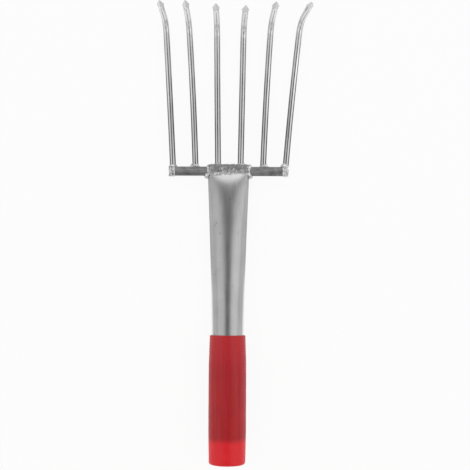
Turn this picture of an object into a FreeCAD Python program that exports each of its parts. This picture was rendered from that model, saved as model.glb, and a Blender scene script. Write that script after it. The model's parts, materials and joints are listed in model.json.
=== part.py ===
"""Uncapping fork: six hooked, pointed tines welded to a crossbar that is let into the
flattened end of a round tube, with a soft closed-end grip sleeve stretched over the tube.

The tool is built in its own axes, in mm: X to the right, Y along the tube towards the
tines, Z towards the side that the hooks turn to, with zero on the tube's axis at the
crossbar's upper edge. It is then laid on its back on a table, as it rests: on the lip of
the sleeve and on the bends of the tines."""

import FreeCAD
import Part
import math
import os
from FreeCAD import Vector

# ---------------------------------------------------------------- driving dimensions
# Tube
TUBE_D = 22.0
TUBE_WALL = 1.2
NECK_LENGTH = 114.0  # from the crossbar's upper edge down to where the tube is round again
NECK_FLARE = 3.55  # what flattening adds to half of the tube's width, at the crossbar
NECK_CURVE = 1.4  # how fast the flare dies away down the neck
JAW_DEPTH = 4.3  # how far the flat of the pressed end reaches below the bar's upper edge
JAW_OVERHANG = 1.4  # how far the pressed end stands above the bar's upper edge
RAMP_ANGLE = 25.0  # of the press's sloping faces
SAW_STOCK = 0.25  # what the saw that cuts the slit takes off the inside of each jaw

# Crossbar
BAR_TRIM = 0.2  # how much shorter the bar is than the row of tines is wide
BAR_HEIGHT = 6.3
BAR_THICKNESS = 3.0
BAR_EDGE_R = 0.35
BAR_SHIFT = 0.1  # the bar sits this much to the right of the tube's axis

# Tines
TINE_D = 4.2
TINE_PITCH = 15.6
TINE_ROW_SHIFT = 0.5  # the row of tines sits this much to the right of the tube's axis
TINE_REACH = 92.0  # from the crossbar's upper edge to the start of the bend
BEND_R = 11.0  # of the tine's centreline
BEND_ANGLE = 73.6
TAIL_LENGTH = 20.9  # from the end of the bend to the tip of the point
POINT_LENGTH = 5.2
POINT_SPREAD = 2.2  # length over which the round rod is hammered into a diamond
POINT_SWELL = 0.45  # how far the diamond's corners stand proud of the rod
TIP_HALF_DIAGONAL = 0.3

# The six tines were bent by hand, left to right: lean at the foot and lean at the bend
# (degrees to the right), turn of the hook about the tine (degrees to the right), and how
# much longer than TINE_REACH the straight part came out.
TINE_SET = (
    (-2.9, -3.6, -4.8, 1.0),
    (-2.0, -3.9, -2.0, 0.9),
    (-0.9, -0.6, -0.8, -1.4),
    (1.0, 1.0, 2.2, -2.5),
    (2.0, 3.8, 4.5, 0.4),
    (4.7, 6.4, 11.2, 1.4),
)

# Grip sleeve
SLEEVE_GAP = 2.0  # round tube left bare between the neck and the sleeve's lip
SLEEVE_LENGTH = 88.0
LIP_WALL = 1.4
BELLY_WALL = 2.0
HEEL_WALL = 1.6  # of the sleeve's side at its closed end
BELLY_LENGTH = 46.0
BELLY_FROM_LIP = 20.0
SLEEVE_END_WALL = 3.0
SLEEVE_POCKET = 13.0  # left empty between the tube's end and the sleeve's end wall
LIP_ROUND = 0.8
HEEL_ROUND = 1.6

# Weld beads
# Each tine's bead, left to right: shift to the right, reach past the rod, and height.
TINE_BEADS = (
    (0.3, 0.9, 1.9),
    (-0.4, 1.1, 2.4),
    (0.0, 0.7, 1.2),
    (0.1, 0.8, 1.2),
    (0.7, 1.0, 2.0),
    (-0.6, 1.1, 2.8),
)
END_WRAP_REACH = 3.8  # how far in from the bar's end the outer tines' beads wrap round it
END_WRAP_SKIN = 0.5  # their thickness on the bar
TOP_WELD_CROWN = 0.5
TOP_WELD_INSET = 2.4  # from the jaws' edges to the ends of the weld that fills the slit
SEAM_R = 1.1  # of the beads up the edges of the jaws
SEAM_IN = 0.4  # from the jaw's edge in to a bead's middle
SEAM_ROUNDING = 0.9  # share of the bead's radius by which its block is rounded
CORNER_LUMP_R = 2.1  # of the lumps in the corners under the bar
CORNER_LUMP_OUT = 0.5  # from the tube's edge out to a lump's middle
SPATTER_R = 1.3  # of the rough lump at the right jaw's top
SPATTER_OUT = 0.45  # from the jaw's edge out to its middle
SPATTER_LIFT = 0.9  # its middle lies this far in front of the bar's middle

# How finely the formed part of the tube is drawn
HALF_SECTION_STEPS = 16
RAMP_STEP = 1.5
RAMP_STEPS = 8
NECK_STEPS = 7
NECK_STEP_GROWTH = 1.5  # above 1, the sections below the ramp lie further and further apart
PRESS_SHARPNESS = 6.0  # how crisply the pressed flats break into the oval
JOIN_TOLERANCE = 0.001  # how far the drawn neck's round end may lie from a true circle
STRAIGHT = 1e-6  # a bow of fewer radians than this is drawn as a straight line

# ---------------------------------------------------------------- worked-out sizes
TUBE_R = TUBE_D / 2
TINE_R = TINE_D / 2
BAR_HALF = BAR_THICKNESS / 2
JAW_HALF = BAR_HALF + TUBE_WALL
TINES = len(TINE_SET)
BAR_LENGTH = (TINES - 1) * TINE_PITCH + TINE_D - BAR_TRIM
POINT_HALF_DIAGONAL = TINE_R + POINT_SWELL
LIP_R = TUBE_R + LIP_WALL
BELLY_R = TUBE_R + BELLY_WALL
HEEL_R = TUBE_R + HEEL_WALL
LIP_Y = -NECK_LENGTH - SLEEVE_GAP
BELLY_TOP_Y = LIP_Y - BELLY_FROM_LIP
END_Y = LIP_Y - SLEEVE_LENGTH
TUBE_END_Y = END_Y + SLEEVE_END_WALL + SLEEVE_POCKET
PAST = 1.0  # how far a cutting tool runs past the face that it opens
BIG = 2 * (NECK_LENGTH + SLEEVE_LENGTH + TINE_REACH)  # larger than the whole tool


def foot_x(number):
    """Where tine `number`, counted from 0 at the left, stands on the bar."""
    return TINE_ROW_SHIFT + (number - (TINES - 1) / 2) * TINE_PITCH


def foot_y(number):
    """Height of the face a tine stands on: the bar, or the jaws for a tine over them."""
    over_jaws = abs(foot_x(number)) + TINE_R < neck_half_width(0.0)
    return JAW_OVERHANG if over_jaws else 0.0


# ---------------------------------------------------------------- tube
def neck_half_width(depth):
    """Half of the tube's width, `depth` below the crossbar's upper edge."""
    left = 1 - max(depth, JAW_DEPTH) / NECK_LENGTH
    return TUBE_R + NECK_FLARE * left**NECK_CURVE


def neck_half_height(depth):
    """Half of the oval's height: its wall is as long round as the round tube's."""
    middle_r = TUBE_R - TUBE_WALL / 2
    middle_half_width = neck_half_width(depth) - TUBE_WALL / 2
    return math.sqrt(2 * middle_r**2 - middle_half_width**2) + TUBE_WALL / 2


def press_gap(depth):
    """Half of the gap between the press's faces: flat at the jaws, then a ramp."""
    ramp = max(0.0, depth - JAW_DEPTH) * math.tan(math.radians(RAMP_ANGLE))
    return JAW_HALF + ramp


def half_section(half_width, half_height, gap, depth, face):
    """One half of a section, front (`face` 1) or back (`face` -1): half an oval that the
    press has flattened wherever it stood higher than the gap."""
    points = []
    for step in range(HALF_SECTION_STEPS + 1):
        turn = math.pi * step / HALF_SECTION_STEPS
        oval_z = half_height * math.sin(turn)
        share = (oval_z / gap) ** PRESS_SHARPNESS
        pressed_z = oval_z / (1 + share) ** (1 / PRESS_SHARPNESS)
        points.append(Vector(face * half_width * math.cos(turn), -depth, face * pressed_z))
    parameters = [step / HALF_SECTION_STEPS for step in range(HALF_SECTION_STEPS + 1)]
    upright = Vector(0, 0, face * math.pi * half_height)
    curve = Part.BSplineCurve()
    curve.interpolate(
        Points=points,
        Parameters=parameters,
        InitialTangent=upright,
        FinalTangent=upright * -1,
        Scale=False,
    )
    return curve


def neck_sections(inset, saw_stock, end_run, face):
    """Half sections down the neck, `inset` inside its outer surface, close together in
    the press's ramp and wider apart below it; the last two are round."""
    ramp = [JAW_DEPTH + RAMP_STEP * step for step in range(RAMP_STEPS)]
    below = NECK_LENGTH - ramp[-1]
    shares = [(step / NECK_STEPS) ** NECK_STEP_GROWTH for step in range(1, NECK_STEPS)]
    neck = [ramp[-1] + below * share for share in shares]
    top = -JAW_OVERHANG - end_run
    sections = []
    for depth in [top, top / 2, JAW_DEPTH / 2] + ramp + neck:
        half_width = neck_half_width(depth) - inset
        half_height = neck_half_height(depth) - inset
        gap = press_gap(depth) - inset - saw_stock
        sections.append(half_section(half_width, half_height, gap, depth, face))
    for depth in (NECK_LENGTH - RAMP_STEP, NECK_LENGTH):
        sections.append(half_section(TUBE_R - inset, TUBE_R - inset, BIG, depth, face))
    return sections


def skin(sections):
    """Smooth face drawn along a row of half sections."""
    around = sections[0]
    degree = around.Degree
    spans = len(sections) - degree
    surface = Part.BSplineSurface()
    surface.buildFromPolesMultsKnots(
        [section.getPoles() for section in sections],
        [degree + 1] + [1] * (spans - 1) + [degree + 1],
        around.getMultiplicities(),
        [float(knot) for knot in range(spans + 1)],
        around.getKnots(),
        False,
        False,
        degree,
        degree,
    )
    return surface.toShape()


def tube_body(inset, saw_stock, end_run):
    """Solid of the tube's outside, or of its inside when `inset` is the wall."""
    halves = [neck_sections(inset, saw_stock, end_run, face) for face in (1, -1)]
    faces = [skin(half) for half in halves]
    for end in (0, -1):
        faces.append(Part.Face(Part.Wire([half[end].toShape() for half in halves])))
    shell = Part.makeShell(faces)
    shell.sewShape()
    neck = Part.makeSolid(shell)
    if neck.Volume < 0:
        neck.reverse()
    length = -TUBE_END_Y - NECK_LENGTH + end_run
    straight = Part.makeCylinder(TUBE_R - inset, length, Vector(0, -NECK_LENGTH, 0), Vector(0, -1, 0))
    return neck.fuse([straight], JOIN_TOLERANCE)


def slit():
    """The sawn slit that the crossbar drops into, open at the top and at both sides."""
    height = BAR_HEIGHT + JAW_OVERHANG + PAST
    width = 2 * (neck_half_width(0.0) + PAST)
    return Part.makeBox(width, height, BAR_THICKNESS, Vector(-width / 2, -BAR_HEIGHT, -BAR_HALF))


def shank_tube():
    outside = tube_body(0.0, 0.0, 0.0)
    inside = tube_body(TUBE_WALL, SAW_STOCK, PAST)
    return outside.cut(inside).cut(slit())


# ---------------------------------------------------------------- crossbar
def crossbar():
    corner = Vector(BAR_SHIFT - BAR_LENGTH / 2, -BAR_HEIGHT, -BAR_HALF)
    bar = Part.makeBox(BAR_LENGTH, BAR_HEIGHT, BAR_THICKNESS, corner)
    long_edges = [edge for edge in bar.Edges if edge.Length > BAR_LENGTH - PAST]
    return bar.makeFillet(BAR_EDGE_R, long_edges)


# ---------------------------------------------------------------- tines
def shaft_edge(start, lean_start, lean_end, length):
    """The straight part of a tine's centreline, bowed a little, and where it ends."""
    middle = math.radians((lean_start + lean_end) / 2)
    bow = math.radians(lean_end - lean_start)
    chord = length if abs(bow) < STRAIGHT else length * math.sin(bow / 2) / (bow / 2)
    end = start + Vector(math.sin(middle), math.cos(middle), 0) * chord
    if abs(bow) < STRAIGHT:
        return Part.makeLine(start, end), end
    sagitta = chord / 2 * math.tan(bow / 4)
    top_of_bow = (start + end) / 2 + Vector(-math.cos(middle), math.sin(middle), 0) * sagitta
    return Part.Arc(start, top_of_bow, end).toShape(), end


def bend_edge(start, along, lift):
    """The bend, which turns from `along` towards `lift`; also its end and direction there."""
    angle = math.radians(BEND_ANGLE)

    def at(turn):
        return start + along * (BEND_R * math.sin(turn)) + lift * (BEND_R * (1 - math.cos(turn)))

    end = at(angle)
    heading = along * math.cos(angle) + lift * math.sin(angle)
    return Part.Arc(start, at(angle / 2), end).toShape(), end, heading


def ring(centre, axis, side, radius):
    """A circle as four quarter arcs whose ends lie where the diamond has its corners."""
    across = axis.cross(side)
    corners = [centre + way * radius for way in (side, across, side * -1, across * -1)]
    edges = []
    halfway = (side + across, across - side, (side + across) * -1, side - across)
    for number, way in enumerate(halfway):
        middle = centre + way.normalize() * radius
        edges.append(Part.Arc(corners[number], middle, corners[(number + 1) % 4]).toShape())
    return Part.Wire(edges)


def diamond(centre, axis, side, half_diagonal):
    """A square on its corner, across `axis`."""
    across = axis.cross(side)
    corners = [centre + way * half_diagonal for way in (side, across, side * -1, across * -1)]
    return Part.makePolygon(corners + corners[:1])


def point(start, heading, side):
    """The hammered end: round, then a diamond that stands proud of the rod, then a tip."""
    shoulder = start + heading * POINT_SPREAD
    tip = shoulder + heading * POINT_LENGTH
    round_end = ring(start, heading, side, TINE_R)
    widest = diamond(shoulder, heading, side, POINT_HALF_DIAGONAL)
    narrowest = diamond(tip, heading, side, TIP_HALF_DIAGONAL)
    spread = Part.makeLoft([round_end, widest], True, True)
    taper = Part.makeLoft([widest, narrowest], True, True)
    return spread.fuse(taper)


def tine(number):
    lean_foot, lean_bend, hook_turn, extra = TINE_SET[number]
    seat = foot_y(number)
    lead = PAST + TINE_R
    foot_way = Vector(math.sin(math.radians(lean_foot)), math.cos(math.radians(lean_foot)), 0)
    foot = Vector(foot_x(number), 0, 0)
    stub_start = foot - foot_way * lead
    stub = Part.makeLine(stub_start, foot)
    shaft, shaft_end = shaft_edge(foot, lean_foot, lean_bend, TINE_REACH + extra)

    lean = math.radians(lean_bend)
    along = Vector(math.sin(lean), math.cos(lean), 0)
    right = Vector(math.cos(lean), -math.sin(lean), 0)
    turn = math.radians(hook_turn)
    lift = Vector(0, 0, 1) * math.cos(turn) + right * math.sin(turn)
    bend, bend_end, heading = bend_edge(shaft_end, along, lift)
    tail_end = bend_end + heading * (TAIL_LENGTH - POINT_LENGTH - POINT_SPREAD)
    path = Part.Wire([stub, shaft, bend, Part.makeLine(bend_end, tail_end)])

    rim = Part.Wire(Part.Circle(stub_start, foot_way, TINE_R).toShape())
    rod = path.makePipe(Part.Face(rim))
    hooked = rod.fuse(point(tail_end, heading, lift.cross(along)))
    below = Part.makeBox(BIG, BIG, BIG, Vector(-BIG / 2, seat - BIG, -BIG / 2))
    return hooked.cut(below).removeSplitter()


# ---------------------------------------------------------------- welds
def ball(x, y, z, radius):
    return Part.makeSphere(radius, Vector(x, y, z))


def foot_ring(number):
    """The bead round a tine's foot: a low dome, turned about the foot."""
    shift, reach, height = TINE_BEADS[number]
    radius = TINE_R + reach
    middle = Vector(foot_x(number) + shift, foot_y(number), 0)
    rim = middle + Vector(radius, 0, 0)
    crest = middle + Vector(0, height, 0)
    shoulder = middle + Vector(radius, height, 0) * math.sqrt(0.5)
    edges = [
        Part.makeLine(middle, rim),
        Part.Arc(rim, shoulder, crest).toShape(),
        Part.makeLine(crest, middle),
    ]
    return Part.Face(Part.Wire(edges)).revolve(middle, Vector(0, 1, 0), 360)


def end_wrap(way):
    """Skin of weld round the left (`way` -1) or right (`way` 1) end of the bar."""
    length = END_WRAP_REACH + END_WRAP_SKIN
    height = BAR_HEIGHT + 2 * END_WRAP_SKIN
    depth = BAR_THICKNESS + 2 * END_WRAP_SKIN
    bar_end = BAR_SHIFT + way * BAR_LENGTH / 2
    start_x = bar_end - END_WRAP_REACH if way > 0 else bar_end - END_WRAP_SKIN
    block = Part.makeBox(length, height, depth, Vector(start_x, -BAR_HEIGHT - END_WRAP_SKIN, -depth / 2))
    return block.makeFillet(END_WRAP_SKIN, block.Edges)


def tine_bead(number):
    """A tine's bead; an outer one also wraps round the end of the bar."""
    ring_bead = foot_ring(number)
    if number == 0:
        return ring_bead.fuse(end_wrap(-1))
    if number == TINES - 1:
        return ring_bead.fuse(end_wrap(1))
    return ring_bead


def top_weld():
    """Fills the slit above the bar, and crowns over it."""
    half_width = neck_half_width(0.0) - TOP_WELD_INSET
    corner = Vector(-half_width, 0, -BAR_HALF)
    height = JAW_OVERHANG + TOP_WELD_CROWN
    fill = Part.makeBox(2 * half_width, height, BAR_THICKNESS, corner)
    crown_r = (BAR_HALF**2 + TOP_WELD_CROWN**2) / (2 * TOP_WELD_CROWN)
    axis_start = Vector(-half_width, height - crown_r, 0)
    crown = Part.makeCylinder(crown_r, 2 * half_width, axis_start, Vector(1, 0, 0))
    return fill.common(crown)


def corner_lump(way):
    """Lump in the corner between the bar's lower edge and the tube; `way` is -1 or 1."""
    x = way * (neck_half_width(BAR_HEIGHT) + CORNER_LUMP_OUT)
    return ball(x, -BAR_HEIGHT, 0, CORNER_LUMP_R)


def rounded_block(x, z, bottom, top, radius):
    """An upright block round (x, z), `radius` out to each side and past both ends, with
    all its edges rounded."""
    height = top - bottom + 2 * radius
    block = Part.makeBox(2 * radius, height, 2 * radius, Vector(x - radius, bottom - radius, z - radius))
    return block.makeFillet(radius * SEAM_ROUNDING, block.Edges)


def seam(way, face):
    """Bead up the edge of one jaw, on the front (`face` 1) or the back (`face` -1)."""
    x = way * (neck_half_width(0.0) - SEAM_IN)
    return rounded_block(x, face * BAR_HALF, -BAR_HEIGHT, 0.0, SEAM_R)


def spatter():
    """The rough lump at the top of the right jaw."""
    x = neck_half_width(0.0) + SPATTER_OUT
    return rounded_block(x, SPATTER_LIFT, 0.0, 0.0, SPATTER_R)


def lay(nodes, solid_metal, name, bead):
    """Adds a bead: it fills only what the steel and the earlier beads leave free."""
    for metal in solid_metal:
        if bead.BoundBox.intersect(metal.BoundBox):
            bead = bead.cut(metal)
    whole = max(bead.Solids, key=lambda solid: solid.Volume)
    nodes[name] = whole
    solid_metal.append(whole)


# ---------------------------------------------------------------- grip sleeve
def grip_sleeve():
    """A closed-end sleeve, turned about the tube's axis: lip, belly, end, pocket."""
    belly_foot_y = BELLY_TOP_Y - BELLY_LENGTH
    floor_y = END_Y + SLEEVE_END_WALL

    def spot(radius, y):
        return Vector(radius, y, 0)

    def rounded(radius, y, round_r, way):
        """Arc at an outer corner that is `radius` out and at `y`; the sleeve's middle lies
        to the `way` of it along Y."""
        inset = round_r * (1 - math.sqrt(0.5))
        start = spot(radius - round_r, y)
        end = spot(radius, y + way * round_r)
        return Part.Arc(start, spot(radius - inset, y + way * inset), end).toShape()

    edges = [
        Part.makeLine(spot(TUBE_R, floor_y), spot(TUBE_R, LIP_Y)),
        Part.makeLine(spot(TUBE_R, LIP_Y), spot(LIP_R - LIP_ROUND, LIP_Y)),
        rounded(LIP_R, LIP_Y, LIP_ROUND, -1),
        Part.makeLine(spot(LIP_R, LIP_Y - LIP_ROUND), spot(BELLY_R, BELLY_TOP_Y)),
        Part.makeLine(spot(BELLY_R, BELLY_TOP_Y), spot(BELLY_R, belly_foot_y)),
        Part.makeLine(spot(BELLY_R, belly_foot_y), spot(HEEL_R, END_Y + HEEL_ROUND)),
        rounded(HEEL_R, END_Y, HEEL_ROUND, 1),
        Part.makeLine(spot(HEEL_R - HEEL_ROUND, END_Y), spot(0, END_Y)),
        Part.makeLine(spot(0, END_Y), spot(0, floor_y)),
        Part.makeLine(spot(0, floor_y), spot(TUBE_R, floor_y)),
    ]
    return Part.Face(Part.Wire(edges)).revolve(Vector(0, 0, 0), Vector(0, 1, 0), 360)


# ---------------------------------------------------------------- how it lies
def lie_angle():
    """Head-down tilt, in degrees, of a tool that rests on its bends and its sleeve: the
    steeper of the lines that touch a bend, and the lip's round or the belly, from below."""
    bend_middle = Vector(0, TINE_REACH, BEND_R)
    lip_middle = Vector(0, LIP_Y - LIP_ROUND, LIP_ROUND - LIP_R)
    belly_edge = Vector(0, BELLY_TOP_Y, -BELLY_R)
    slopes = []
    for support, round_r in ((lip_middle, LIP_ROUND), (belly_edge, 0.0)):
        gap = bend_middle - support
        rise = math.atan2(gap.z, gap.y)
        slopes.append(rise - math.asin((BEND_R + TINE_R - round_r) / gap.Length))
    return math.degrees(max(slopes))


def build():
    nodes = {"shank_tube": shank_tube(), "crossbar": crossbar(), "grip_sleeve": grip_sleeve()}
    for number in range(TINES):
        nodes["tine_%d" % (number + 1)] = tine(number)

    # The beads stay out of the tube's bore as well, so it counts as metal here.
    solid_metal = [tube_body(0.0, 0.0, 0.0).cut(slit()), nodes["crossbar"]]
    solid_metal += [nodes["tine_%d" % (number + 1)] for number in range(TINES)]
    lay(nodes, solid_metal, "neck_weld_top", top_weld())
    for number in range(TINES):
        lay(nodes, solid_metal, "tine_weld_%d" % (number + 1), tine_bead(number))
    for way, hand in ((-1, "left"), (1, "right")):
        lay(nodes, solid_metal, "neck_weld_under_" + hand, corner_lump(way))
        front = seam(way, 1) if way < 0 else seam(way, 1).fuse(spatter())
        lay(nodes, solid_metal, "neck_weld_front_" + hand, front)
        lay(nodes, solid_metal, "neck_weld_rear_" + hand, seam(way, -1))
    return nodes


def lay_down(nodes):
    """Turns the tool as it lies, and puts the middle of its footprint at the origin."""
    tilt = -lie_angle()
    for shape in nodes.values():
        shape.rotate(Vector(0, 0, 0), Vector(1, 0, 0), tilt)
    box = Part.makeCompound(list(nodes.values())).optimalBoundingBox(False)
    shift = Vector(-(box.XMin + box.XMax) / 2, -(box.YMin + box.YMax) / 2, -box.ZMin)
    for shape in nodes.values():
        shape.translate(shift)
    print("tilt %.5f  shift %.4f %.4f %.4f" % (tilt, shift.x, shift.y, shift.z))
    print("size %.2f x %.2f x %.2f" % (box.XLength, box.YLength, box.ZLength))


def main():
    nodes = build()
    lay_down(nodes)
    os.makedirs("parts", exist_ok=True)
    for name, shape in nodes.items():
        solids = len(shape.Solids)
        print("%-24s solids %d  valid %s  %.1f mm3" % (name, solids, shape.isValid(), shape.Volume))
        shape.exportStep("parts/%s.step" % name)


main()
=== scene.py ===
"""Looks of an uncapping fork: satin steel tube, bright tines, lumpy welds and a
translucent red grip, on a white table under soft light.

Lengths are in metres. The tool's own axes run X to the right, Y along the tube towards
the tines and Z towards the hooks, with zero on the tube's axis at the crossbar's upper
edge; `on_tool` takes a point from them to where the tool lies."""

import json
import math

import bmesh
import bpy
import numpy as np
from mathutils import Matrix, Vector, noise


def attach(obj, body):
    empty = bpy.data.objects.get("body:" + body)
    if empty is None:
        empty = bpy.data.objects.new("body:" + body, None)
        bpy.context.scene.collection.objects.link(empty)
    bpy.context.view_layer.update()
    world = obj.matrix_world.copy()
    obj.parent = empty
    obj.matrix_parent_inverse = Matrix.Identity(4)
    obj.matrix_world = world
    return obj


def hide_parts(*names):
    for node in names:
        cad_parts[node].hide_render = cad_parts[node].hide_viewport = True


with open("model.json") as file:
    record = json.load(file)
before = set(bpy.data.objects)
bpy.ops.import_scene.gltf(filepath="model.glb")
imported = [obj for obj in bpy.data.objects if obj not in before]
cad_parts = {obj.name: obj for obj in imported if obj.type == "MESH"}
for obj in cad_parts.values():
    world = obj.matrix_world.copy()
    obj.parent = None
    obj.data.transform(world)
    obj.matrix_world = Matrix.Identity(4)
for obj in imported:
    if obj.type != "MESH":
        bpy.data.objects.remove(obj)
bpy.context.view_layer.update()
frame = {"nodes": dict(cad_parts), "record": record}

# ---------------------------------------------------------------- sizes of the tool
MM = 0.001
TUBE_R = 11.0 * MM
TUBE_WALL = 1.2 * MM
NECK_LENGTH = 114.0 * MM
NECK_FLARE = 3.55 * MM
NECK_CURVE = 1.4
JAW_HALF = 2.7 * MM
JAW_DEPTH = 4.3 * MM
JAW_OVERHANG = 1.4 * MM
RAMP_ANGLE = math.radians(25.0)  # of the press's sloping faces
PRESS_SHARPNESS = 4.0  # how crisply the round tube breaks into its pressed flats

SLEEVE_GAP = 2.0 * MM
SLEEVE_LENGTH = 88.0 * MM
LIP_R = 12.4 * MM
BELLY_R = 13.0 * MM
HEEL_R = 12.6 * MM
BELLY_FROM_LIP = 20.0 * MM
BELLY_LENGTH = 46.0 * MM
HEEL_WALL = 3.0 * MM
POCKET = 13.0 * MM
LIP_ROUND = 0.8 * MM
HEEL_ROUND = 1.6 * MM
BORE_CLEARANCE = 0.05 * MM

LIP_Y = -NECK_LENGTH - SLEEVE_GAP
END_Y = LIP_Y - SLEEVE_LENGTH
TUBE_END_Y = END_Y + HEEL_WALL + POCKET

# ---------------------------------------------------------------- where the tool lies
mounts = {mount["name"]: mount for mount in frame["record"]["mounts"]}
TOOL_Y = -Vector(mounts["grip_end"]["axis"]).normalized()
TOOL_X = Vector((1.0, 0.0, 0.0))
TOOL_Z = TOOL_X.cross(TOOL_Y)
TOOL_ZERO = Vector(mounts["grip_end"]["pos_m"]) - TOOL_Y * END_Y
TOOL_TURN = Matrix((TOOL_X, TOOL_Y, TOOL_Z)).transposed()
TILT = math.atan2(TOOL_Y.z, TOOL_Y.y)


def on_tool(points):
    """Points in the tool's axes, as an array, turned and moved to where the tool lies."""
    return np.asarray(points) @ np.array(TOOL_TURN).T + np.array(TOOL_ZERO)


# ---------------------------------------------------------------- where a finish or its painted light changes
# In the tool's axes. A change starts at a pair's first number and is over at its second.
SCOURED = (-5.8 * MM, -4.6 * MM)
SCOUR_RAGGED = 8.0 * MM  # how far the edge of the scoured band wanders
SWARF = (0.8 * MM, -1.6 * MM)
# the press's sloping faces get a painted highlight here
RAMP = (-24.0 * MM, -14.0 * MM)
# where the tube's sides go from painted shade to a painted highlight
SIDES_SHADE_TO_HIGHLIGHT = (-60.0 * MM, -90.0 * MM)

# the bar gets a painted highlight from here out to its ends
BAR_END_HIGHLIGHT = (36.5 * MM, 39.5 * MM)
BAR_UPPER_SIDE = (-6.0 * MM, -1.0 * MM)
# the beads at the bar's ends get a painted highlight from here outwards
BEAD_END_HIGHLIGHT = (36.5 * MM, 38.5 * MM)

TINE_FOOT = (62.0 * MM, 22.0 * MM)
TINE_MIDDLE = ((58.0 * MM, 68.0 * MM), (86.0 * MM, 76.0 * MM))
# the tines get a painted highlight from here towards the hooks
TINE_HOOK_HIGHLIGHT = (50.0 * MM, 96.0 * MM)
# where the painted shade on the tines' sides fades
TINE_SIDE_SHADE_FADES = (80.0 * MM, 98.0 * MM)
TINE_BEND = ((76.0 * MM, 90.0 * MM), (104.0 * MM, 99.0 * MM))
# the point gets a painted highlight and more roughness from here up
TINE_POINT = (20.5 * MM, 23.0 * MM)  # up Z

LIP_GLOW = 30.0 * MM  # how far the paler red reaches down from the sleeve's lip
EMPTY = (TUBE_END_Y + 3.4 * MM, TUBE_END_Y - 2.4 * MM)
EMPTY_RAGGED = 3.0 * MM

# ---------------------------------------------------------------- node trees
class Value:
    """A socket in a node tree that takes part in Python arithmetic."""

    def __init__(self, plan, socket):
        self.plan = plan
        self.socket = socket

    def math(self, operation, *others):
        return self.plan.math(operation, self, *others)

    def __add__(self, other):
        return self.math("ADD", other)

    def __radd__(self, other):
        return self.plan.math("ADD", other, self)

    def __sub__(self, other):
        return self.math("SUBTRACT", other)

    def __rsub__(self, other):
        return self.plan.math("SUBTRACT", other, self)

    def __mul__(self, other):
        return self.math("MULTIPLY", other)

    def __truediv__(self, other):
        return self.math("DIVIDE", other)

    def size(self):
        """The value without its sign."""
        return self.math("ABSOLUTE")

    def step(self, low, high):
        """0 below `low`, 1 above `high`, and a smooth rise between; or the other way round."""
        return self.plan.node(
            "ShaderNodeMapRange",
            {"interpolation_type": "SMOOTHSTEP"},
            {"Value": self, "From Min": low, "From Max": high},
        )


class Plan:
    """A node tree that is being drawn up."""

    def __init__(self, tree):
        self.tree = tree

    def node(self, kind, settings=None, values=None, out=0):
        """A new node: its settings first, then what its sockets hold or are linked to."""
        node = self.tree.nodes.new(kind)
        for name, value in (settings or {}).items():
            setattr(node, name, value)
        for key, value in (values or {}).items():
            self.feed(node.inputs[key], value)
        return Value(self, node.outputs[out]) if node.outputs else None

    def feed(self, socket, value):
        if isinstance(value, Value):
            self.tree.links.new(value.socket, socket)
        else:
            socket.default_value = value

    def math(self, operation, *values):
        return self.node("ShaderNodeMath", {"operation": operation}, dict(enumerate(values)))

    def split(self, vector):
        """The three parts of a vector."""
        first = self.node("ShaderNodeSeparateXYZ", values={0: vector})
        return [Value(self, socket) for socket in first.socket.node.outputs]

    def in_tool(self, place):
        """A place where the tool lies, told in the tool's own axes."""
        moved = self.node(
            "ShaderNodeVectorMath", {"operation": "SUBTRACT"}, {0: place, 1: tuple(TOOL_ZERO)}
        )
        return self.node(
            "ShaderNodeVectorRotate",
            {"rotation_type": "X_AXIS"},
            {"Vector": moved, "Angle": -TILT},
        )

    def blend(self, share, colour, other):
        """`colour` where `share` is 0, `other` where it is 1."""
        return self.node(
            "ShaderNodeMix", {"data_type": "RGBA"}, {0: share, 6: colour, 7: other}, out=2
        )

    def noise(self, place, scale, detail=2.0, stretch=(1.0, 1.0, 1.0)):
        """Soft noise from 0 to 1 with `scale` blots to the metre, drawn out by `stretch`."""
        spread = self.node(
            "ShaderNodeVectorMath", {"operation": "MULTIPLY"}, {0: place, 1: stretch}
        )
        return self.node(
            "ShaderNodeTexNoise", values={"Vector": spread, "Scale": scale, "Detail": detail}
        )


def grey(shade):
    return (shade, shade, shade, 1.0)


OBJECT_NORMAL = 1  # outputs of the Texture Coordinate node
OBJECT_PLACE = 3


class Finish(Plan):
    """A material that is drawn up in the tool's own axes."""

    def __init__(self, name, **constants):
        self.material = bpy.data.materials.new(name)
        self.material.use_nodes = True
        super().__init__(self.material.node_tree)
        self.shader = self.tree.nodes["Principled BSDF"]
        for key, value in constants.items():
            self.shader.inputs[key.replace("_", " ")].default_value = value
        self.place = self.in_tool(self.node("ShaderNodeTexCoord", out=OBJECT_PLACE))
        self.x, self.y, self.z = self.split(self.place)

    def facing(self):
        """How far the skin faces right and along the tool, each from -1 to 1."""
        return self.split(self.node("ShaderNodeTexCoord", out=OBJECT_NORMAL))[:2]

    def grain(self, scale, detail=2.0, along_x=1.0, along_y=1.0):
        """Noise in the tool's axes; under 1, `along_x` or `along_y` draws it out that way."""
        return self.noise(self.place, scale, detail, (along_x, along_y, 1.0))

    def grey(self, shade):
        return self.node("ShaderNodeCombineColor", values={0: shade, 1: shade, 2: shade})

    def shade(self, value):
        self.colour(self.grey(value))

    def colour(self, value):
        self.feed(self.shader.inputs["Base Color"], value)

    def roughness(self, value):
        self.feed(self.shader.inputs["Roughness"], value)

    def bump(self, height, depth):
        """Relief: `height` from 0 to 1 stands for `depth` metres."""
        relief = self.node(
            "ShaderNodeBump", values={"Height": height, "Distance": depth, "Strength": 1.0}
        )
        self.feed(self.shader.inputs["Normal"], relief)


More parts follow.
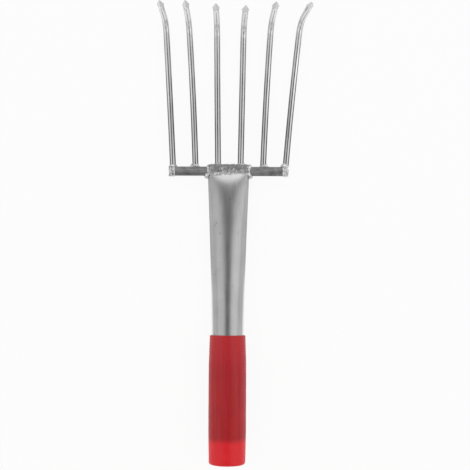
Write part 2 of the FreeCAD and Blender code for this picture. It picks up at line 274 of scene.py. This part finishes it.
# ---------------------------------------------------------------- finishes
# The numbers by which a pattern is multiplied are its share of the shade or roughness.
def tube_steel():
    """Drawn stainless tube: fine lengthwise lines, soft blotches, a scoured pressed end, painted
    shade along its upper sides turning to a painted highlight along its lower sides, and a
    painted highlight on the press's sloping faces.
    """
    steel = Finish("tube steel", Metallic=1.0)
    lines = steel.grain(900.0, 3.0, along_y=0.03)
    blots = steel.grain(120.0, 4.0, along_y=0.4)
    specks = steel.grain(420.0).step(0.66, 0.74)
    grit = steel.grain(1500.0)
    clots = steel.grain(480.0, 3.0)
    curls = steel.grain(800.0, 1.0)

    across, along = steel.facing()
    # painted light on the sides: painted shade higher up, a painted highlight near the grip
    sides_painted_light = across.size().step(0.86, 0.96)
    sides_highlight_share = steel.y.step(*SIDES_SHADE_TO_HIGHLIGHT)
    # a painted highlight on the sloping faces of the press, where they face along the tool
    slope_highlight = along.step(0.04, 0.38) * steel.y.step(*RAMP)
    clean = 0.23 + lines * 0.12 + blots * 0.18 + grit * 0.08 - specks * 0.12
    # the painted shade and painted highlights go into the shade of the unscoured steel here
    clean = clean + sides_painted_light * (sides_highlight_share * 0.50 - 0.14) + slope_highlight * 0.12

    swarf = (curls - 0.5).size().step(0.070, 0.010) * clots.step(0.42, 0.56)
    swarf = swarf * steel.y.step(*SWARF)
    rubbed = grit * 0.34 + clots * 0.38 + swarf * 0.52

    scoured = (steel.y + (clots - 0.5) * SCOUR_RAGGED).step(*SCOURED)
    steel.shade(clean + (rubbed - clean) * scoured)
    steel.roughness(0.27 + blots * 0.08 + lines * 0.05 + scoured * 0.14)
    steel.bump(lines * 0.12 + grit * scoured + clots * scoured, 0.16 * MM)
    return steel.material


def bar_steel():
    """Flat bar: dull rolled faces, paler towards its upper side, and painted paler near its
    welded ends as a highlight.
    """
    steel = Finish("bar steel", Metallic=1.0)
    lines = steel.grain(700.0, 3.0, along_x=0.05)
    blots = steel.grain(260.0, 4.0)
    pits = steel.grain(1300.0, 3.0)
    # a painted highlight near the bar's ends
    end = steel.x.size().step(*BAR_END_HIGHLIGHT)
    upper = steel.y.step(*BAR_UPPER_SIDE)
    streaked = lines.step(0.34, 0.66) * 0.16 + blots * 0.34 + pits * 0.16
    steel.shade(streaked + end * 0.18 + upper * 0.17 - 0.06)
    steel.roughness(0.34 + blots * 0.16)
    steel.bump(lines * 0.5 + blots * 0.5, 0.2 * MM)
    return steel.material


def tine_steel():
    """Drawn rod: fine lines along it, a painted dark reflection down its middle, painted shade
    on its sides, and painted highlights towards the hooks and at the point. It is darkest at its
    foot, and rougher over the bend and at the point."""
    steel = Finish("tine steel", Metallic=1.0)
    lines = steel.grain(1600.0, 2.0, along_y=0.04)
    blots = steel.grain(300.0, 3.0, along_y=0.3)
    across = steel.facing()[0].size()
    # painted shade on the rod's sides, weaker towards the hooks
    sides_painted_light = across.step(0.50, 0.74) * (1.0 - steel.y.step(*TINE_SIDE_SHADE_FADES) * 0.55)
    # a painted dark reflection down the middle of the rod, where it does not face sideways
    painted_dark_stripe = across.step(0.24, 0.06)
    hook_highlight = steel.y.step(*TINE_HOOK_HIGHLIGHT)
    middle = steel.y.step(*TINE_MIDDLE[0]) * steel.y.step(*TINE_MIDDLE[1])
    bend = steel.y.step(*TINE_BEND[0]) * steel.y.step(*TINE_BEND[1])
    point = steel.z.step(*TINE_POINT)
    foot = steel.y.step(*TINE_FOOT)
    # painted highlights: the rod is painted brighter towards the hooks and at the point
    bright_rod_and_highlights = 0.54 + lines * 0.20 + blots * 0.16 + hook_highlight * 0.06 + middle * 0.08 + point * 0.16
    # the painted dark reflection and the painted shade on the sides darken the rod here
    drawn = bright_rod_and_highlights - painted_dark_stripe * 0.22 - sides_painted_light * (0.50 + lines * 0.08)
    steel.shade(drawn * (1.0 - foot * 0.32))
    steel.roughness(0.11 + lines * 0.08 + bend * 0.22 + point * 0.22)
    steel.bump(lines, 0.03 * MM)
    return steel.material


def weld_metal():
    """Rough bead: bright where it was brushed, grey in its hollows, and with a painted highlight
    at the ends of the bar, stronger at the right one."""
    steel = Finish("weld metal", Metallic=1.0)
    blots = steel.grain(700.0, 4.0)
    grit = steel.grain(2500.0)
    left = tuple(-x for x in BEAD_END_HIGHLIGHT)
    # a painted highlight on the beads at the bar's ends, stronger on the right
    end = steel.x.step(*BEAD_END_HIGHLIGHT) + steel.x.step(*left) * 0.4
    steel.shade(0.40 + blots.step(0.36, 0.64) * 0.48 + end * 0.16)
    steel.roughness(0.22 + blots * 0.2 + end * 0.24)
    steel.bump(grit, 0.08 * MM)
    return steel.material


OVER_TUBE_REDS = (0.42, 0.004, 0.006, 1.0), (0.58, 0.009, 0.012, 1.0)
HOLLOW_REDS = (0.84, 0.006, 0.012, 1.0), (1.00, 0.030, 0.042, 1.0)
LIP_RED = (0.64, 0.016, 0.018, 1.0)
STREAK_PINK = (0.55, 0.034, 0.058, 1.0)
SHEEN_PINK = (1.0, 0.5, 0.58, 1.0)


def grip_vinyl():
    """Soft red vinyl that lets a little light through: brighter where no tube is inside."""
    vinyl = Finish(
        "grip vinyl",
        IOR=1.47,
        Transmission_Weight=0.12,
        Specular_IOR_Level=0.35,
        Sheen_Weight=0.22,
        Sheen_Roughness=0.22,
        Sheen_Tint=SHEEN_PINK,
    )
    streaks = vinyl.grain(350.0, 3.0, along_y=0.05)
    clouds = vinyl.grain(90.0, 3.0)
    over_tube = vinyl.blend(clouds, *OVER_TUBE_REDS)
    near_lip = vinyl.blend(vinyl.y.step(LIP_Y - LIP_GLOW, LIP_Y), over_tube, LIP_RED)
    streaked = vinyl.blend(streaks.step(0.38, 0.68) * 0.45, near_lip, STREAK_PINK)
    hollow = vinyl.blend(clouds, *HOLLOW_REDS)
    empty = (vinyl.y + (clouds - 0.5) * EMPTY_RAGGED).step(*EMPTY)
    vinyl.colour(vinyl.blend(empty, streaked, hollow))
    vinyl.roughness(0.34 + streaks * 0.15)
    vinyl.bump(streaks * 0.4 + clouds * 0.6, 0.1 * MM)
    return vinyl.material


FINISHES = {
    "tube_steel": tube_steel(),
    "bar_steel": bar_steel(),
    "tine_steel": tine_steel(),
    "weld_metal": weld_metal(),
    "grip_vinyl": grip_vinyl(),
}


# ---------------------------------------------------------------- meshes
def grid_mesh(name, rows, closed_rows):
    """A skin over `rows`, each an array of points round the tool's axis."""
    count = rows.shape[1]
    faces = []
    last = len(rows) if closed_rows else len(rows) - 1
    for row in range(last):
        below = (row + 1) % len(rows)
        for spot in range(count):
            beside = (spot + 1) % count
            corners = (row * count + spot, row * count + beside)
            faces.append(corners + (below * count + beside, below * count + spot))
    mesh = bpy.data.meshes.new(name)
    mesh.from_pydata([tuple(point) for point in on_tool(rows.reshape(-1, 3))], [], faces)
    return mesh


def new_piece(name, mesh, nearest=1e-7):
    """A piece with clean skin: points nearer than `nearest` welded, faces turned outwards."""
    work = bmesh.new()
    work.from_mesh(mesh)
    bmesh.ops.remove_doubles(work, verts=work.verts, dist=nearest)
    bmesh.ops.recalc_face_normals(work, faces=work.faces)
    work.to_mesh(mesh)
    work.free()
    piece = bpy.data.objects.new(name, mesh)
    bpy.context.scene.collection.objects.link(piece)
    return piece


def add_finish(mesh, slot):
    mesh.materials.clear()
    mesh.materials.append(FINISHES[slot])


def finished(piece, slot, *nodes):
    """Gives a piece its finish and puts it in the place of its CAD nodes."""
    for face in piece.data.polygons:
        face.use_smooth = True
    add_finish(piece.data, slot)
    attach(piece, "root")
    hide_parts(*nodes)


def grow(piece, tree, **inputs):
    """Puts a Geometry Nodes tree on a piece, with its named inputs set."""
    modifier = piece.modifiers.new(tree.name, "NODES")
    modifier.node_group = tree
    entries = [item for item in tree.interface.items_tree if item.in_out == "INPUT"]
    sockets = {item.name: item.identifier for item in entries}
    for name, value in inputs.items():
        modifier[sockets[name.replace("_", " ")]] = value


def settle(piece):
    """Makes the result of a piece's modifiers its plain mesh."""
    bpy.context.view_layer.update()
    seen = piece.evaluated_get(bpy.context.evaluated_depsgraph_get())
    mesh = bpy.data.meshes.new_from_object(seen)
    piece.modifiers.clear()
    piece.data = mesh


SOCKET_KINDS = {int: "NodeSocketInt", float: "NodeSocketFloat"}


def new_tree(name, **inputs):
    """A Geometry Nodes tree with a geometry that comes in, named inputs, and one result."""
    tree = bpy.data.node_groups.new(name, "GeometryNodeTree")
    face = tree.interface
    face.new_socket("Shape", in_out="INPUT", socket_type="NodeSocketGeometry")
    for label, value in inputs.items():
        kind = SOCKET_KINDS.get(type(value), "NodeSocketMaterial")
        socket = face.new_socket(label.replace("_", " "), in_out="INPUT", socket_type=kind)
        socket.default_value = value
    face.new_socket("Result", in_out="OUTPUT", socket_type="NodeSocketGeometry")
    plan = Plan(tree)
    given = plan.node("NodeGroupInput").socket.node.outputs
    return tree, plan, [Value(plan, socket) for socket in given][:-1]


def hand_over(plan, shape, material):
    """Ends a tree: everything real, with its material."""
    real = plan.node("GeometryNodeRealizeInstances", values={"Geometry": shape})
    painted = plan.node(
        "GeometryNodeSetMaterial", values={"Geometry": real, "Material": material}
    )
    plan.node("NodeGroupOutput", values={0: painted})


# ---------------------------------------------------------------- tube
ROUND_STEPS = 192
TURN = np.linspace(0, 2 * np.pi, ROUND_STEPS, endpoint=False)
PRESSED_LENGTH = 20.0 * MM  # of the tube, drawn with rings a PRESSED_STEP apart
PRESSED_STEP = 0.3 * MM
DRAWN_RINGS = 90
CRUSH_DEPTH = 0.35 * MM
CRUSH_GRAIN = 0.9 * MM
CRUSH_FADES = 2.0 * MM


def smooth(value, low, high):
    """0 below `low`, 1 above `high`, and a smooth rise between."""
    share = min(max((value - low) / (high - low), 0.0), 1.0)
    return share * share * (3 - 2 * share)


def neck_half_width(depth):
    """Half of the tube's width `depth` below the bar's upper edge."""
    left = 1 - np.clip(depth, JAW_DEPTH, NECK_LENGTH) / NECK_LENGTH
    return TUBE_R + NECK_FLARE * left**NECK_CURVE


def neck_half_height(depth):
    """Half of its height: the girth of the tube's wall stays what it was when round."""
    middle_r = TUBE_R - TUBE_WALL / 2
    middle_half_width = neck_half_width(depth) - TUBE_WALL / 2
    return np.sqrt(2 * middle_r**2 - middle_half_width**2) + TUBE_WALL / 2


def tube_ring(depth, inset):
    """One ring of the tube, `inset` inside its outer skin, `depth` below the bar's edge."""
    half_width = neck_half_width(depth) - inset
    half_height = neck_half_height(depth) - inset
    gap = JAW_HALF + max(0.0, depth - JAW_DEPTH) * math.tan(RAMP_ANGLE) - inset
    oval_z = half_height * np.sin(TURN)
    share = (np.abs(oval_z) / gap) ** PRESS_SHARPNESS
    pressed_z = oval_z / (1 + share) ** (1 / PRESS_SHARPNESS)
    ring = np.column_stack((half_width * np.cos(TURN), np.full(ROUND_STEPS, -depth), pressed_z))
    crushed = 1 - smooth(depth, JAW_DEPTH, JAW_DEPTH + CRUSH_FADES)
    if crushed > 0 and inset == 0:
        pits = [noise.noise(Vector(point) / CRUSH_GRAIN) for point in ring]
        ring[:, 2] -= np.sign(pressed_z) * CRUSH_DEPTH * crushed * np.abs(pits)
    return ring


def tube_mesh():
    """The tube's outer skin down to its end, and its inner skin back up."""
    pressed = np.arange(-JAW_OVERHANG, PRESSED_LENGTH, PRESSED_STEP)
    drawn = np.linspace(PRESSED_LENGTH, -TUBE_END_Y, DRAWN_RINGS)
    depths = np.concatenate((pressed, drawn))
    outside = [tube_ring(depth, 0.0) for depth in depths]
    inside = [tube_ring(depth, TUBE_WALL) for depth in depths[::-2]]
    return grid_mesh("tube", np.array(outside + inside), True)


finished(new_piece("tube", tube_mesh()), "tube_steel", "shank_tube")


# ---------------------------------------------------------------- grip sleeve
SIDE_RINGS = 240
RIB_PITCH = 2.1 * MM
RIB_DEPTH = 0.07 * MM
RIBBED_LENGTH = 34.0 * MM
WAVE_DEPTH = 0.28 * MM
WAVE_SCALE = 70.0
SKIN = (TUBE_R + 0.3 * MM, TUBE_R + 0.6 * MM)  # what lies further out is the outer skin


def arc(centre, radius, start, stop, steps=8):
    """Points on an arc, from `start` to `stop` degrees."""
    turn = np.radians(np.linspace(start, stop, steps))
    return [(centre[0] + radius * math.cos(a), centre[1] + radius * math.sin(a)) for a in turn]


def sleeve_profile():
    """Radius and height of the sleeve's section, from the floor of its pocket round the
    lip to the middle of its closed end."""
    bore = TUBE_R + BORE_CLEARANCE
    floor_y = END_Y + HEEL_WALL
    belly_top = LIP_Y - BELLY_FROM_LIP
    belly_foot = belly_top - BELLY_LENGTH
    inside = [(0.0, floor_y), (bore, floor_y), (bore, LIP_Y)]
    lip = arc((LIP_R - LIP_ROUND, LIP_Y - LIP_ROUND), LIP_ROUND, 90, 0)
    side_y = np.linspace(LIP_Y - LIP_ROUND, END_Y + HEEL_ROUND, SIDE_RINGS)[1:-1]
    heights = [END_Y + HEEL_ROUND, belly_foot, belly_top, LIP_Y - LIP_ROUND]
    radii = [HEEL_R, BELLY_R, BELLY_R, LIP_R]
    side = [(float(np.interp(y, heights, radii)), float(y)) for y in side_y]
    heel = arc((HEEL_R - HEEL_ROUND, END_Y + HEEL_ROUND), HEEL_ROUND, 0, -90)
    return inside + lip + side + heel + [(0.0, END_Y)]


def sleeve_mesh():
    """The sleeve's section turned round the tool's axis."""
    round_x, round_z = np.cos(TURN), np.sin(TURN)
    rows = [
        np.column_stack((radius * round_x, np.full(ROUND_STEPS, y), radius * round_z))
        for radius, y in sleeve_profile()
    ]
    return grid_mesh("grip", np.array(rows), False)


def dipped_tree():
    """Faint ribs near the lip and the gentle waves of a hand-dipped skin. They are set to
    sink the skin and not to raise it, so that it stays inside the CAD model's box."""
    tree, plan, given = new_tree(
        "dipped skin",
        Rib_pitch=RIB_PITCH,
        Rib_depth=RIB_DEPTH,
        Ribs_end=LIP_Y - RIBBED_LENGTH,
        Wave_depth=WAVE_DEPTH,
        Finish=FINISHES["grip_vinyl"],
    )
    shape, pitch, depth, ribs_end, wave_depth, finish = given
    place = plan.in_tool(plan.node("GeometryNodeInputPosition"))
    x, y, z = plan.split(place)
    outside = (x * x + z * z).math("SQRT").step(*SKIN)
    fade = y.step(ribs_end, LIP_Y)
    ribs = ((y / pitch * math.tau).math("SINE") - 1.0) * depth * fade
    waves = (plan.noise(place, WAVE_SCALE) - 0.8) * wave_depth
    lift = (ribs + waves) * outside
    offset = plan.node(
        "ShaderNodeVectorMath",
        {"operation": "SCALE"},
        {0: plan.node("GeometryNodeInputNormal"), "Scale": lift},
    )
    moved = plan.node("GeometryNodeSetPosition", values={"Geometry": shape, "Offset": offset})
    hand_over(plan, moved, finish)
    return tree


def make_grip():
    piece = new_piece("grip", sleeve_mesh())
    grow(piece, dipped_tree())
    settle(piece)
    finished(piece, "grip_vinyl", "grip_sleeve")


make_grip()


# ---------------------------------------------------------------- welds
FUSE_GRAIN = 0.16 * MM
SOFTENING = 3
CAD_DOUBLES = 1e-6
DROP_SPREAD = (0.45, 1.15)  # the smallest and largest drop, against the drop radius
DROP_RADIUS = 0.34 * MM
DROP_RADII = {"tine_weld_1": 0.18 * MM, "tine_weld_6": 0.18 * MM}
DROP_RADII.update({"tine_weld_%d" % number: 0.5 * MM for number in (2, 3, 4, 5)})


def drops_tree():
    """A bead with drops of weld over its skin."""
    tree, plan, given = new_tree(
        "weld drops",
        Drop_radius=DROP_RADIUS,
        Drops_per_mm2=0.9,
        Seed=0,
        Finish=FINISHES["weld_metal"],
    )
    bead, radius, count, seed, finish = given
    spots = plan.node(
        "GeometryNodeDistributePointsOnFaces",
        values={"Mesh": bead, "Density": count / (MM * MM), "Seed": seed},
    )
    drop = plan.node("GeometryNodeMeshIcoSphere", values={"Radius": radius, "Subdivisions": 3})
    smallest, largest = DROP_SPREAD
    size = plan.node(
        "FunctionNodeRandomValue",
        {"data_type": "FLOAT"},
        {2: smallest, 3: largest, "Seed": seed},
        out=1,
    )
    drops = plan.node(
        "GeometryNodeInstanceOnPoints", values={"Points": spots, "Instance": drop, "Scale": size}
    )
    joined = plan.node("GeometryNodeJoinGeometry", values={0: bead})
    plan.feed(joined.socket.node.inputs[0], drops)
    hand_over(plan, joined, finish)
    return tree


def make_weld(node_name, tree, seed):
    """A lumpy bead where the CAD has a plain one."""
    mesh = frame["nodes"][node_name].data.copy()
    piece = new_piece(node_name + "_bead", mesh, CAD_DOUBLES)
    grow(piece, tree, Drop_radius=DROP_RADII.get(node_name, DROP_RADIUS), Seed=seed)
    fuse = piece.modifiers.new("fuse", "REMESH")
    fuse.mode = "VOXEL"
    fuse.voxel_size = FUSE_GRAIN
    soften = piece.modifiers.new("soften", "SMOOTH")
    soften.iterations = SOFTENING
    settle(piece)
    finished(piece, "weld_metal", node_name)


weld_drops = drops_tree()
weld_names = sorted(name for name in frame["nodes"] if "weld" in name)
for seed, weld_name in enumerate(weld_names, 1):
    make_weld(weld_name, weld_drops, seed)


# ---------------------------------------------------------------- plain CAD pieces
for node_name, node in frame["nodes"].items():
    if node.hide_render:
        continue
    add_finish(node.data, "bar_steel" if node_name == "crossbar" else "tine_steel")


# ---------------------------------------------------------------- table and light
TABLE_HALF = 4.0
TABLE_DROP = 0.1 * MM  # how far the table lies below the tool
TABLE_SHADE = 0.95
TABLE_ROUGHNESS = 0.9
GLOW_SHARES = {"Is Camera Ray": 0.92, "Is Glossy Ray": 0.9, "Is Transmission Ray": 0.9}


def white_table():
    """White to the eye and in the metal, yet it still shows a soft shadow."""
    material = bpy.data.materials.new("white table")
    material.use_nodes = True
    tree = material.node_tree
    plan = Plan(tree)
    matt = tree.nodes["Principled BSDF"]
    matt.inputs["Base Color"].default_value = grey(TABLE_SHADE)
    matt.inputs["Roughness"].default_value = TABLE_ROUGHNESS
    path = plan.node("ShaderNodeLightPath").socket.node
    seen = [Value(plan, path.outputs[ray]) * share for ray, share in GLOW_SHARES.items()]
    share = seen[0] + seen[1] + seen[2]
    glow = plan.node("ShaderNodeEmission", values={"Color": grey(1.0), "Strength": 1.0})
    lit = Value(plan, matt.outputs[0])
    mixed = plan.node("ShaderNodeMixShader", values={0: share, 1: lit, 2: glow})
    plan.feed(tree.nodes["Material Output"].inputs["Surface"], mixed)
    return material


def table():
    """A plain floor under the tool."""
    mesh = bpy.data.meshes.new("table")
    signs = ((-1, -1), (1, -1), (1, 1), (-1, 1))
    corners = [(x * TABLE_HALF, y * TABLE_HALF, -TABLE_DROP) for x, y in signs]
    mesh.from_pydata(corners, [], [(0, 1, 2, 3)])
    mesh.materials.append(white_table())
    floor = bpy.data.objects.new("table", mesh)
    bpy.context.scene.collection.objects.link(floor)


def sky():
    """A studio: dim straight above, along the tool, and pale towards the walls."""
    world = bpy.data.worlds.new("studio")
    bpy.context.scene.world = world
    world.use_nodes = True
    plan = Plan(world.node_tree)
    x, _, z = plan.split(plan.node("ShaderNodeTexCoord", out=0))
    glow = 0.17 + x.size().step(0.12, 0.55) * 0.50 + z.step(0.25, 0.02) * 0.28
    seen = plan.node("ShaderNodeLightPath")
    strength = glow + seen * (1.0 - glow)
    background = world.node_tree.nodes["Background"]
    background.inputs["Color"].default_value = grey(1.0)
    plan.feed(background.inputs["Strength"], strength)


PANELS = (
    ("left panel", (-1.0, 0.0, 1.05), (0.8, 1.6), 0.48),
    ("right panel", (1.0, 0.0, 1.05), (0.8, 1.6), 0.68),
    ("far panel", (0.0, 1.25, 0.95), (1.6, 0.7), 1.5),
    ("near panel", (0.0, -1.3, 0.9), (1.6, 0.6), 1.0),
)
EYE = (0.00071, -0.00060, 0.75)
EYE_ROLL = math.radians(0.30)
LENS_MM = 82.2
SENSOR_MM = 36.0
FAR_CLIP = 20.0


def lamp(name, place, size, glow):
    """A soft panel that faces the tool; `glow` is how bright it looks."""
    light = bpy.data.lights.new(name, "AREA")
    light.shape = "RECTANGLE"
    light.size, light.size_y = size
    light.energy = glow * math.pi * size[0] * size[1]
    panel = bpy.data.objects.new(name, light)
    bpy.context.scene.collection.objects.link(panel)
    panel.location = place
    panel.rotation_euler = (-Vector(place)).to_track_quat("-Z", "Y").to_euler()


def camera():
    """Straight above the tool, turned a little, as it was laid down."""
    lens = bpy.data.cameras.new("camera")
    lens.lens = LENS_MM
    lens.sensor_width = SENSOR_MM
    lens.clip_end = FAR_CLIP
    eye = bpy.data.objects.new("camera", lens)
    bpy.context.scene.collection.objects.link(eye)
    eye.location = EYE
    eye.rotation_euler = (0.0, 0.0, EYE_ROLL)
    bpy.context.scene.camera = eye


table()
sky()
for panel in PANELS:
    lamp(*panel)
camera()
bpy.context.scene.view_settings.view_transform = "Standard"
